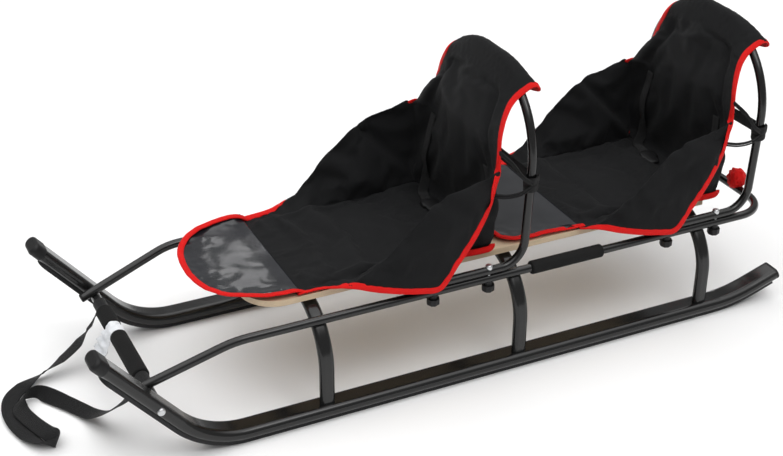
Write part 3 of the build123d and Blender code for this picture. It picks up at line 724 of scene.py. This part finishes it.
class Sheet:
    """A seat cover's vertices, faces and bound edge, and how firmly it is held and how freely it folds."""

    def __init__(self):
        self.points = []
        self.faces = []
        self.edge = []
        self.held = {}
        self.free = {}

    def add(self, x, y, z):
        self.points.append(Vector((x, y, z)))
        return len(self.points) - 1

    def quads(self, rows):
        for low, high in zip(rows, rows[1:]):
            for k in range(len(low) - 1):
                self.faces.append((low[k], high[k], high[k + 1], low[k + 1]))

    def hold(self, indices, weight):
        self.held.update(dict.fromkeys(indices, weight))

    def limit(self, indices, free):
        """Lets vertices fold no more freely than this."""
        self.free.update({index: min(free, self.free.get(index, 1.0)) for index in indices})


def crown_drop(y):
    """How far the hoop's top lies below its middle."""
    out = max(0.0, abs(y) - CROWN_START)
    return CROWN_RADIUS - math.sqrt(max(0.0, CROWN_RADIUS ** 2 - out ** 2))


def cover_sections(sheet, upright, seam):
    """Rows of vertices across the base, the wings and their flaps, from the vinyl seam to the back."""
    rows = []
    for ahead in np.linspace(seam, BACK_FOOT, int(round((seam - BACK_FOOT) / COVER_STEP)) + 1):
        half = cover_half(ahead)
        left = [sheet.add(upright + ahead + shift, y, z) for shift, y, z in half]
        tuck = FAR_TUCK * max(0.0, 1 - (ahead - BACK_FOOT) / TUCK_REACH)
        right = [sheet.add(upright + ahead + shift, -y, z - tuck * height_share(z) ** 6)
                 for shift, y, z in reversed(half[:-1])]
        rows.append(left + right)
    return rows


def back_panel(sheet, last):
    """Rows of vertices between the walls of the last section, from the base to the waist."""
    rows = [last[WING_FOOT:WING_FOOT + ACROSS + 1]]
    for k in range(1, WALL_STEPS + 1):
        left, right = last[WING_FOOT - k], last[len(last) - 1 - WING_FOOT + k]
        edge = sheet.points[left]
        row = [left]
        for j in range(1, ACROSS):
            share = 1 - 2 * j / ACROSS
            sag = BACK_SAG * (1 - share ** 2) * math.sin(math.pi / 2 * k / WALL_STEPS)
            row.append(sheet.add(edge.x - sag, edge.y * share, edge.z))
        rows.append(row + [right])
    return rows


def hood_rows(sheet, upright):
    """Rows of vertices from the waist over the hoop's top tube."""
    run = running_length([row[:2] for row in BACK_ROWS])
    table = np.column_stack([run, BACK_ROWS])
    rows = []
    for at in np.linspace(0, run[-1], int(round(run[-1] / COVER_STEP)) + 1)[1:]:
        mid_x, mid_z, *edges = eased(table, at)
        sag = BACK_SAG * max(0.0, 1 - at / SAG_FADE)
        crowned = clamped((mid_z - CROWN_Z) / CROWN_BLEND)
        far_bend = EDGE_BEND + FAR_BEND * clamped((FAR_BEND_Z - mid_z) / FAR_BEND_BLEND)
        row = []
        for j in range(ACROSS + 1):
            share = 1 - 2 * j / ACROSS
            edge_x, edge_z, half = edges[:3] if share > 0 else edges[3:]
            bend = EDGE_BEND if share > 0 else far_bend
            y = half * share
            fall = crowned * crown_drop(y) / crown_drop(half) + (1 - crowned) * abs(share) ** bend
            x = mid_x - sag * (1 - share ** 2) + (edge_x - mid_x) * abs(share) ** max(2.0, bend)
            row.append(sheet.add(upright + x, y, mid_z - (mid_z - edge_z) * fall))
        rows.append(row)
        if HELD_ROWS[1] < mid_x < HELD_ROWS[0]:
            sheet.limit(row, TUBE_FREE)
    return rows


def cover_sheet(upright, seam):
    """A whole cover: base, wings and outer flaps, back panel and the hood over the hoop's top tube."""
    sheet = Sheet()
    sections = cover_sections(sheet, upright, seam)
    last = sections[-1]
    panel = back_panel(sheet, last)
    hood = [panel[-1], *hood_rows(sheet, upright)]
    sheet.quads(sections)
    sheet.quads(panel + hood[1:])
    left_edge = [row[0] for row in sections] + last[1:CREST] + [row[0] for row in hood]
    right_edge = [row[-1] for row in sections] + last[-2:-CREST - 1:-1] + [row[-1] for row in hood]
    sheet.edge = left_edge + hood[-1][1:-1] + right_edge[::-1]
    for row in sections:
        sheet.hold((row[CREST], row[-1 - CREST]), CREST_HOLD)
    for row in sections + hood:
        for k in range(EDGE_MARGIN):
            sheet.limit((row[k], row[-1 - k]), k / EDGE_MARGIN)
    for i, row in enumerate(sections[:SEAM_MARGIN]):
        sheet.limit(row, i / SEAM_MARGIN)
    sheet.held.update({index: 1 - free for index, free in sheet.free.items()})
    for row in sections:
        sheet.hold((row[WING_FOOT], row[-1 - WING_FOOT]), WING_FOOT_HOLD)
    sheet.hold(sheet.edge + sections[0], 1.0)
    return sheet


def fold_depth(point, start, end, half_width):
    """How strongly a fold along a line from start to end acts at a point, from 0 to 1."""
    line = end - start
    t = clamped((point - start).dot(line) / line.length_squared)
    away = (point - start - line * t).length
    return math.exp(-(away / half_width) ** 2) * (0.35 + 0.65 * math.sin(math.pi * (0.15 + 0.85 * t)))


def wrinkle(made, upright, free):
    """Moves a cover's cloth into its folds, less so where it isn't free."""
    mesh = made.data
    normals = [vertex.normal.copy() for vertex in mesh.vertices]
    folds = [(*[Vector((upright + ahead, side * y, z)) for ahead, y, z in ends], depth, half_width)
             for *ends, depth, half_width in COVER_FOLDS for side in SIDES.values()]
    for vertex, normal in zip(mesh.vertices, normals):
        place = vertex.co.copy()
        move = -sum(depth * fold_depth(place, start, end, half) for start, end, depth, half in folds)
        slack = BASE_SLACK if place.z < BASE_Z + 0.002 else 1.0
        move += slack * sum(depth * noise.noise(place * scale) for depth, scale in COVER_RIPPLES)
        vertex.co = place + normal * move * free.get(vertex.index, 1.0)
        vertex.co.z = max(vertex.co.z, min(place.z, BASE_Z))


def slacken(cover, held):
    """Simulates a cover's cloth with some slack between the vertices that hold it, and keeps the result."""
    group = cover.vertex_groups.new(name="held")
    for index, weight in held.items():
        group.add([index], weight, "REPLACE")
    cloth = cover.modifiers.new("Slack", "CLOTH")
    cloth.collision_settings.use_collision = False
    cloth.point_cache.frame_end = SLACK_FRAMES
    settings = cloth.settings
    settings.quality = 6
    settings.mass = 0.2
    settings.tension_stiffness = 18.0
    settings.compression_stiffness = 12.0
    settings.shear_stiffness = 6.0
    settings.bending_stiffness = 0.6
    settings.shrink_min = -SLACK_SHARE
    settings.vertex_group_mass = "held"
    settings.effector_weights.gravity = 0.0
    for step in range(1, SLACK_FRAMES + 1):
        bpy.context.scene.frame_set(step)
    fallen = cover.evaluated_get(bpy.context.evaluated_depsgraph_get())
    places = [vertex.co.copy() for vertex in fallen.data.vertices]
    cover.modifiers.remove(cloth)
    cover.vertex_groups.clear()
    bpy.context.scene.frame_set(1)
    for vertex, place in zip(cover.data.vertices, places):
        before = vertex.co.copy()
        move = place - before
        if move.length > SLACK_REACH:
            move *= SLACK_REACH / move.length
        vertex.co = before + move
        if vertex.co.z < BASE_Z < before.z + 0.001:
            vertex.co.z = BASE_Z + 0.5 * (BASE_Z - vertex.co.z)


def border_hints(mesh, edge):
    """For each vertex of a sheet's edge, the way into the cloth."""
    on_edge = set(edge)
    inward = {index: Vector() for index in edge}
    for link in mesh.edges:
        a, b = link.vertices
        for here, there in ((a, b), (b, a)):
            if here in on_edge and there not in on_edge:
                inward[here] += (mesh.vertices[there].co - mesh.vertices[here].co).normalized()
    return [inward[index] for index in edge]


def evened(ways, reach):
    """Directions along a line, each averaged with its neighbours on both sides."""
    return [sum((way.normalized() for way in ways[max(0, i - reach):i + reach + 1]), Vector())
            for i in range(len(ways))]


def bound_edge(name, edge_points, hints, material):
    """A binding tape folded round a cloth edge, a little puckered by its stitches."""
    points = resampled(edge_points, EDGE_STEP)
    inner = [sum((points[i + k] * weight for k, weight in enumerate(EVENING, -2)), Vector())
             for i in range(2, len(points) - 2)]
    points = points[:2] + inner + points[-2:]
    run = running_length(edge_points)
    inward = np.array([hint.normalized() for hint in hints])
    ways = [Vector([np.interp(at, run, inward[:, axis]) for axis in range(3)])
            for at in np.linspace(0, run[-1], len(points))]
    frames = band_frames(points, evened(ways, 4))
    puckered = [point + up * (PUCKER * noise.noise(point * PUCKER_SCALE))
                for point, up in zip(points, frames[1])]
    half_width, half_thick = sizes().binding_width / 2, sizes().binding_thick / 2
    tape = swept_band(puckered, frames, half_width, half_thick, shift=half_width - half_thick)
    return piece(name, *tape, material, "red_cloth")


def grid_faces(rows, columns):
    """Faces of a grid of vertices, rows of columns + 1 points."""
    return [(a, a + columns + 1, a + columns + 2, a + 1)
            for i in range(rows) for a in range(i * (columns + 1), i * (columns + 1) + columns)]


def thickened(made, thick):
    """Gives a sheet its thickness; returns the area it was cut to."""
    area = sum(polygon.area for polygon in made.data.polygons)
    solid = made.modifiers.new("Thickness", "SOLIDIFY")
    solid.thickness = thick
    solid.offset = 0.0
    apply_modifiers(made)
    return area


def foot_height(seat, place, t):
    """The foot panel's height above the base, a share t of the way from the seam to the rim: broad waves and
    soft creases, small crinkles at the rim, which curls up."""
    side = place.y / FOOT_HALF
    rim = max(t, abs(side))
    flat = Vector((place.x, place.y, 0))
    curl = FOOT_CURL[seat] * (0.008 + 0.004 * noise.noise(flat * 11.0) - 0.003 * side)
    waves = 0.0030 * noise.noise(flat * 8.0) + 0.0007 * noise.noise(flat * 24.0)
    creases = abs(noise.noise(flat * 17.0 + Vector((3, 1, 0)))) + 0.5 * abs(noise.noise(flat * 39.0))
    crinkles = 0.0024 * rim ** 6 * noise.noise(flat * 70.0)
    inside = min(1.0, 6 * t) * (1 - 0.5 * rim ** 5)
    pleats = 0.0003 + 0.0022 * rim ** 4
    height = FOOT_LIFT + inside * (waves + pleats * (0.4 - creases)) + crinkles
    return max(0.0004, height + curl * rim ** 6 * min(1.0, 4 * t))


def foot_panel(seat, upright, seam, length, roundness, film, tape):
    """The glossy foot panel with its binding."""
    rows, columns = 60, 110
    points = []
    for i in range(rows + 1):
        t = i / rows
        for j in range(columns + 1):
            angle = (j / columns - 0.5) * FOOT_SWEEP
            out = length * math.cos(angle) ** roundness
            place = Vector((upright + seam - SEAM_LAP + (out + SEAM_LAP) * t,
                            FOOT_HALF * math.copysign(abs(math.sin(angle)) ** roundness, angle), BASE_Z))
            place.z += foot_height(seat, place, t)
            points.append(place)
    panel = piece(f"{seat}_foot_vinyl", points, grid_faces(rows, columns), film, "clear_vinyl",
                  [f"{seat}_cover_vinyl"])
    rim = range(rows * (columns + 1), (rows + 1) * (columns + 1))
    line = [panel.data.vertices[index].co.copy() for index in rim]
    ahead, out, rise = FOOT_BINDING_END
    ends = [Vector((upright + seam + ahead, side * out, BASE_Z + rise)) for side in (-1, 1)]
    line = [ends[0], *line, ends[1]]
    middle = Vector((upright + seam + 0.3 * length, 0, BASE_Z))
    edge = bound_edge(f"{seat}_foot_binding", line, [middle - point for point in line], tape)
    area = thickened(panel, sizes().film)


def foot_tape(seat, upright, side, tape):
    """The tape along the foot of one wing, turned up at the back's corner."""
    points = [Vector((upright + ahead, SIDES[side] * y, BASE_Z + up)) for ahead, y, up in FOOT_TAPE]
    hints = [Vector((0, -0.25 * SIDES[side], 1))] * (len(points) - 2) + [Vector((1, 0, 0.4))] * 2
    return bound_edge(f"{seat}_wing_tape_{side}", points, hints, tape)


class SLED_OT_seat_covers(bpy.types.Operator):
    """Sews the two seat covers, with their glossy foot panels and bound edges"""

    bl_idname = "sled.seat_covers"
    bl_label = "Seat covers"

    def execute(self, context):
        cloth, tape, film = seat_cloth(), binding_tape(), foot_vinyl_film()
        for seat, (upright, seam, length, roundness) in SEATS.items():
            sheet = cover_sheet(upright, seam)
            cover = piece(f"{seat}_cover_cloth", sheet.points, sheet.faces, cloth, "black_cloth",
                          [f"{seat}_cover_{part}" for part in ("base", "back", "wing_left", "wing_right")])
            wrinkle(cover, upright, sheet.free)
            slacken(cover, sheet.held)
            edge_points = [cover.data.vertices[index].co.copy() for index in sheet.edge]
            hints = border_hints(cover.data, sheet.edge)
            trim = bound_edge(f"{seat}_cover_binding", edge_points, hints, tape)
            cover.modifiers.new("Smooth", "SUBSURF").levels = 1
            apply_modifiers(cover)
            area = thickened(cover, sizes().cloth)
            tapes = [foot_tape(seat, upright, side, tape) for side in SIDES]
            foot_panel(seat, upright, seam, length, roundness, film, tape)
        return {"FINISHED"}


def joined(parts):
    """Vertices and faces of several meshes as one."""
    vertices, faces = [], []
    for points, polygons in parts:
        start = len(vertices)
        vertices += points
        faces += [tuple(index + start for index in polygon) for polygon in polygons]
    return vertices, faces


def upright_ahead(z):
    """How far the leaning uprights stand ahead of their feet at a height."""
    return -(z - UPRIGHT_FOOT_Z) * math.tan(RECLINE)


def cord_tube(points, radius):
    """A thin round cord along a line."""
    frames = band_frames(points, [Vector((0.2, 0.9, 0.3))] * len(points))
    return swept_band(points, frames, radius, radius, sides=8, powers=(1, 1), outward=True)


def winding(upright, side, turns=3.5, steps=96):
    """Webbing wound in a lump round one upright."""
    line = []
    for i in range(steps + 1):
        t = i / steps
        angle = 2 * math.pi * turns * t
        z = BACK_STRAP_Z + 0.007 * math.sin(2.6 * math.pi * t)
        z += 0.002 * noise.noise(Vector((t * 9, side, 0)))
        out = 0.0090 + 0.0030 * t
        line.append(Vector((upright + upright_ahead(z) + out * math.cos(angle),
                            side * RAIL_HALF + out * math.sin(angle), z)))
    return swept_band(line, band_frames(line, [UP] * len(line)), 0.0062, WEBBING_HALF)


def back_strap(upright):
    """The band across the two uprights, with its windings and the elastic loops to the cover's edge."""
    behind = upright + upright_ahead(BACK_STRAP_Z) - 0.0092
    line = []
    for y in np.linspace(-RAIL_HALF, RAIL_HALF, 41):
        slack = math.cos(math.pi * y / (2 * RAIL_HALF))
        line.append(Vector((behind - 0.002 * slack, y, BACK_STRAP_Z - 0.003 * slack)))
    frames = band_frames(line, [UP] * len(line))
    parts = [swept_band(line, frames, sizes().strap_width * 0.42, WEBBING_HALF)]
    for name, side in SIDES.items():
        parts.append(winding(upright, side))
        for loop in ELASTIC_LOOPS[name]:
            for strand in (-1, 0, 1):
                points = [Vector((upright + x, side * (y + 0.0012 * strand * strand), z + 0.0026 * strand))
                          for x, y, z in loop]
                parts.append(cord_tube(resampled(points, 0.003), 0.0013))
    return joined(parts)


def surface_below(cover, start, way):
    """Where a straight line meets a cover, and the cover's normal there, turned to face the start."""
    hit, place, normal, _ = cover.ray_cast(Vector(start), Vector(way))
    if not hit:
        raise RuntimeError("the belt misses the seat cover")
    return place, normal if normal.dot(Vector(way)) < 0 else -normal


def belt_line(cover, upright, side):
    """A belt's line over the cover."""
    spots = [surface_below(cover, (upright + 0.30, side * BELT_Y, z), (-1, 0, 0)) for z in BELT_HEIGHTS]
    spots += [surface_below(cover, (upright + ahead, side * y, 0.40), (0, 0, -1)) for ahead, y in BELT_ENDS]
    return resampled([place + normal * BELT_GAP for place, normal in spots], EDGE_STEP)


def belt(cover, upright, side):
    """One belt end with the tongue of its buckle."""
    line = belt_line(cover, upright, side)
    share = [clamped((BELT_TURN_Z - point.z) / BELT_TURN) for point in line]
    hints = [Vector((side * 0.8 * flat, 1 - 0.4 * flat, 0)) for flat in share]
    strap = swept_band(line, band_frames(line, hints), BELT_WIDTH / 2, WEBBING_HALF)
    way = (line[-1] - line[-3]).normalized()
    side_way = (hints[-1] - way * hints[-1].dot(way)).normalized()
    up = side_way.cross(way).normalized()
    up = up if up.z > 0 else -up
    vertices = []
    for along, half in BUCKLE_HALVES:
        middle = line[-1] + way * (along - BUCKLE_LAP) + up * BUCKLE_RISE
        ring = rounded_ring(half, BUCKLE_HALF_THICK, (0.4, 0.5), BUCKLE_SIDES)
        vertices += [middle + side_way * wide + up * thick for wide, thick in ring]
    return strap, (vertices, tube_faces(len(BUCKLE_HALVES), BUCKLE_SIDES))


def tuft(centre, radius, rings=26, sides=44):
    """A soft fluffy ball tied on the rail."""
    vertices = []
    for i in range(rings + 1):
        polar = math.pi * (i + 0.02) / (rings + 0.04)
        for k in range(sides):
            around = 2 * math.pi * k / sides
            way = Vector((math.sin(polar) * math.cos(around), math.cos(polar),
                          math.sin(polar) * math.sin(around)))
            fluff = 0.24 * abs(noise.noise(way * 3.0 + centre * 40)) + 0.06 * noise.noise(way * 19.0)
            vertices.append(centre + Vector((way.x, way.y, 1.15 * way.z)) * radius * (0.80 + fluff))
    return vertices, tube_faces(rings + 1, sides, outward=True)


class SLED_OT_straps(bpy.types.Operator):
    """Winds the back straps, lays the belts on the covers and ties the rear tufts"""

    bl_idname = "sled.straps"
    bl_label = "Back straps, belts and ties"

    def execute(self, context):
        webbing, plastic = black_webbing(), moulded_plastic()
        for seat, (upright, *_) in SEATS.items():
            piece(f"{seat}_back_webbing", *back_strap(upright), webbing, "webbing", [f"{seat}_back_strap"])
            cover = bpy.data.objects[f"{seat}_cover_cloth"]
            ends = [belt(cover, upright, side) for side in SIDES.values()]
            piece(f"{seat}_belt_webbing", *joined([strap for strap, _ in ends]), webbing, "webbing",
                  [f"{seat}_belt"])
            piece(f"{seat}_belt_buckles", *joined([buckle for _, buckle in ends]), plastic, "black_plastic")
        low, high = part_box("rear_ties")
        reach = (high.z - low.z) / 2
        centres = [Vector(((low.x + high.x) / 2, y, (low.z + high.z) / 2 + TUFT_RISE))
                   for y in (high.y - reach, low.y + reach)]
        tufts = joined([tuft(centre, TUFT_RADIUS) for centre in centres])
        piece("rear_tufts", *tufts, binding_tape(), "red_cloth", ["rear_ties"])
        return {"FINISHED"}


class SLED_OT_tag(bpy.types.Operator):
    """Hangs the blank crumpled film tag on the crossbar"""

    bl_idname = "sled.tag"
    bl_label = "Blank tag"

    def execute(self, context):
        low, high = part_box("crossbar_tag")
        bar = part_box("crossbar")
        centre = Vector(((bar[0].x + bar[1].x) / 2, (low.y + high.y) / 2, (bar[0].z + bar[1].z) / 2))
        radius = (bar[1].z - bar[0].z) / 2 + TAG_GAP
        rows, columns = 56, 30
        wrap = TAG_TURN * radius
        drop = centre.z - low.z
        half = (high.y - low.y) * 0.5
        points = []
        for i in range(rows + 1):
            for j in range(columns + 1):
                run = (wrap + drop) * i / rows
                hung = max(0.0, (run - wrap) / drop)
                y = centre.y + half * (1 + TAG_FLARE * hung) * (2 * j / columns - 1) - TAG_DRIFT * hung
                if run < wrap:
                    angle = TAG_TURN - run / radius
                    way = Vector((math.cos(angle), 0, math.sin(angle)))
                    place = Vector((centre.x, y, centre.z)) + way * radius
                else:
                    way = Vector((1, 0, 0.3))
                    place = Vector((centre.x + radius + 0.012 * hung, y, centre.z - (run - wrap)))
                loose = min(1.0, 0.4 + run / wrap) * (1 + 1.2 * hung)
                crumple = sum(depth * abs(noise.noise(place * scale)) for depth, scale in TAG_RIPPLES)
                points.append(place + way * crumple * loose)
        made = piece("blank_tag", points, grid_faces(rows, columns), white_film(), "white_film",
                     ["crossbar_tag"])
        area = thickened(made, sizes().film)
        return {"FINISHED"}


def area_light(name, place, target, size, power):
    """A round soft light that faces a target."""
    light = bpy.data.lights.new(name, "AREA")
    light.shape = "DISK"
    light.size = size
    light.energy = power
    made = add_object(name, light)
    made.location = place
    made.rotation_euler = (Vector(target) - Vector(place)).to_track_quat("-Z", "Y").to_euler()


def studio_sky():
    """Soft light from above: dim at the horizon, bright overhead."""
    world = bpy.data.worlds.new("studio")
    world.use_nodes = True
    nodes, links = world.node_tree.nodes, world.node_tree.links
    place = nodes.new("ShaderNodeTexCoord")
    height = nodes.new("ShaderNodeSeparateXYZ")
    light = tuned(nodes.new("ShaderNodeMapRange"), From_Min=SKY_LOW, From_Max=SKY_HIGH, To_Min=SKY_DIM,
                  To_Max=SKY_BRIGHT)
    light.interpolation_type = "SMOOTHSTEP"
    sky = tuned(nodes["Background"], Color=(1, 1, 1, 1))
    links.new(place.outputs["Generated"], height.inputs["Vector"])
    links.new(height.outputs["Z"], light.inputs["Value"])
    links.new(light.outputs["Result"], sky.inputs["Strength"])
    bpy.context.scene.world = world


def photo_camera():
    """A camera with the photograph's place, direction, focal length and picture centre."""
    turn = (Matrix.Rotation(math.radians(CAMERA_AZIMUTH), 4, "Z")
            @ Matrix.Rotation(math.radians(90 - CAMERA_ELEVATION), 4, "X")
            @ Matrix.Rotation(math.radians(CAMERA_ROLL), 4, "Z"))
    data = bpy.data.cameras.new("photo_camera")
    data.sensor_fit = "HORIZONTAL"
    data.sensor_width = SENSOR_WIDTH
    data.lens = CAMERA_FOCAL_PIXELS * SENSOR_WIDTH / IMAGE_WIDTH
    data.shift_x = (IMAGE_WIDTH / 2 - CAMERA_CENTRE[0]) / IMAGE_WIDTH
    data.shift_y = (CAMERA_CENTRE[1] - IMAGE_HEIGHT / 2) / IMAGE_WIDTH
    camera = add_object("photo_camera", data)
    camera.matrix_world = Matrix.Translation(CAMERA_PLACE) @ turn
    bpy.context.scene.camera = camera


class SLED_OT_stage(bpy.types.Operator):
    """Sets the pale floor, the soft light and the camera"""

    bl_idname = "sled.stage"
    bl_label = "Stage"

    def execute(self, context):
        reach = 12.0
        mesh = bpy.data.meshes.new("floor")
        mesh.from_pydata([(-reach, -reach, 0), (reach, -reach, 0), (reach, reach, 0), (-reach, reach, 0)],
                         [], [(0, 1, 2, 3)])
        finish = Finish("pale_floor", 0.8, Specular_IOR_Level=0.1)
        speckle = finish.group(grain_group(), Fine_scale=30.0, Coarse_scale=3.0)
        finish.shades(speckle["Mottle"], (1, 1, 1), 0.90, 0.93)
        mesh.materials.append(finish.material)
        floor = add_object("floor", mesh)
        studio_sky()
        context.scene.view_settings.view_transform = "Standard"
        area_light("back_box", (-0.52, -2.43, 1.72), (0.2, 0, 0.2), 0.20, 0.32)
        area_light("key", (-0.4, 1.6, 2.9), (0, 0, 0.2), 1.2, 10)
        photo_camera()
        return {"FINISHED"}


STEPS = (SLED_OT_stage, SLED_OT_tow_strap, SLED_OT_frame, SLED_OT_deck, SLED_OT_grips,
         SLED_OT_seat_covers, SLED_OT_straps, SLED_OT_tag)


class SLED_PT_panel(bpy.types.Panel):
    """Sizes, colours and steps of the sled"""

    bl_label = "Two-seat sled"
    bl_idname = "SLED_PT_panel"
    bl_space_type = "VIEW_3D"
    bl_region_type = "UI"
    bl_category = "Sled"

    def draw(self, context):
        for group in (context.scene.sled_sizes, context.scene.sled_colours):
            for name in group.__annotations__:
                self.layout.prop(group, name)
        for step in STEPS:
            self.layout.operator(step.bl_idname)


CLASSES = (SledSizes, SledColours, *STEPS, SLED_PT_panel)


def register():
    for kind in CLASSES:
        bpy.utils.register_class(kind)
    bpy.types.Scene.sled_sizes = bpy.props.PointerProperty(type=SledSizes)
    bpy.types.Scene.sled_colours = bpy.props.PointerProperty(type=SledColours)


def unregister():
    del bpy.types.Scene.sled_colours
    del bpy.types.Scene.sled_sizes
    for kind in reversed(CLASSES):
        bpy.utils.unregister_class(kind)


def main():
    register()
    for step in STEPS:
        family, name = step.bl_idname.split(".")
        getattr(getattr(bpy.ops, family), name)()


if __name__ == "__main__":
    main()
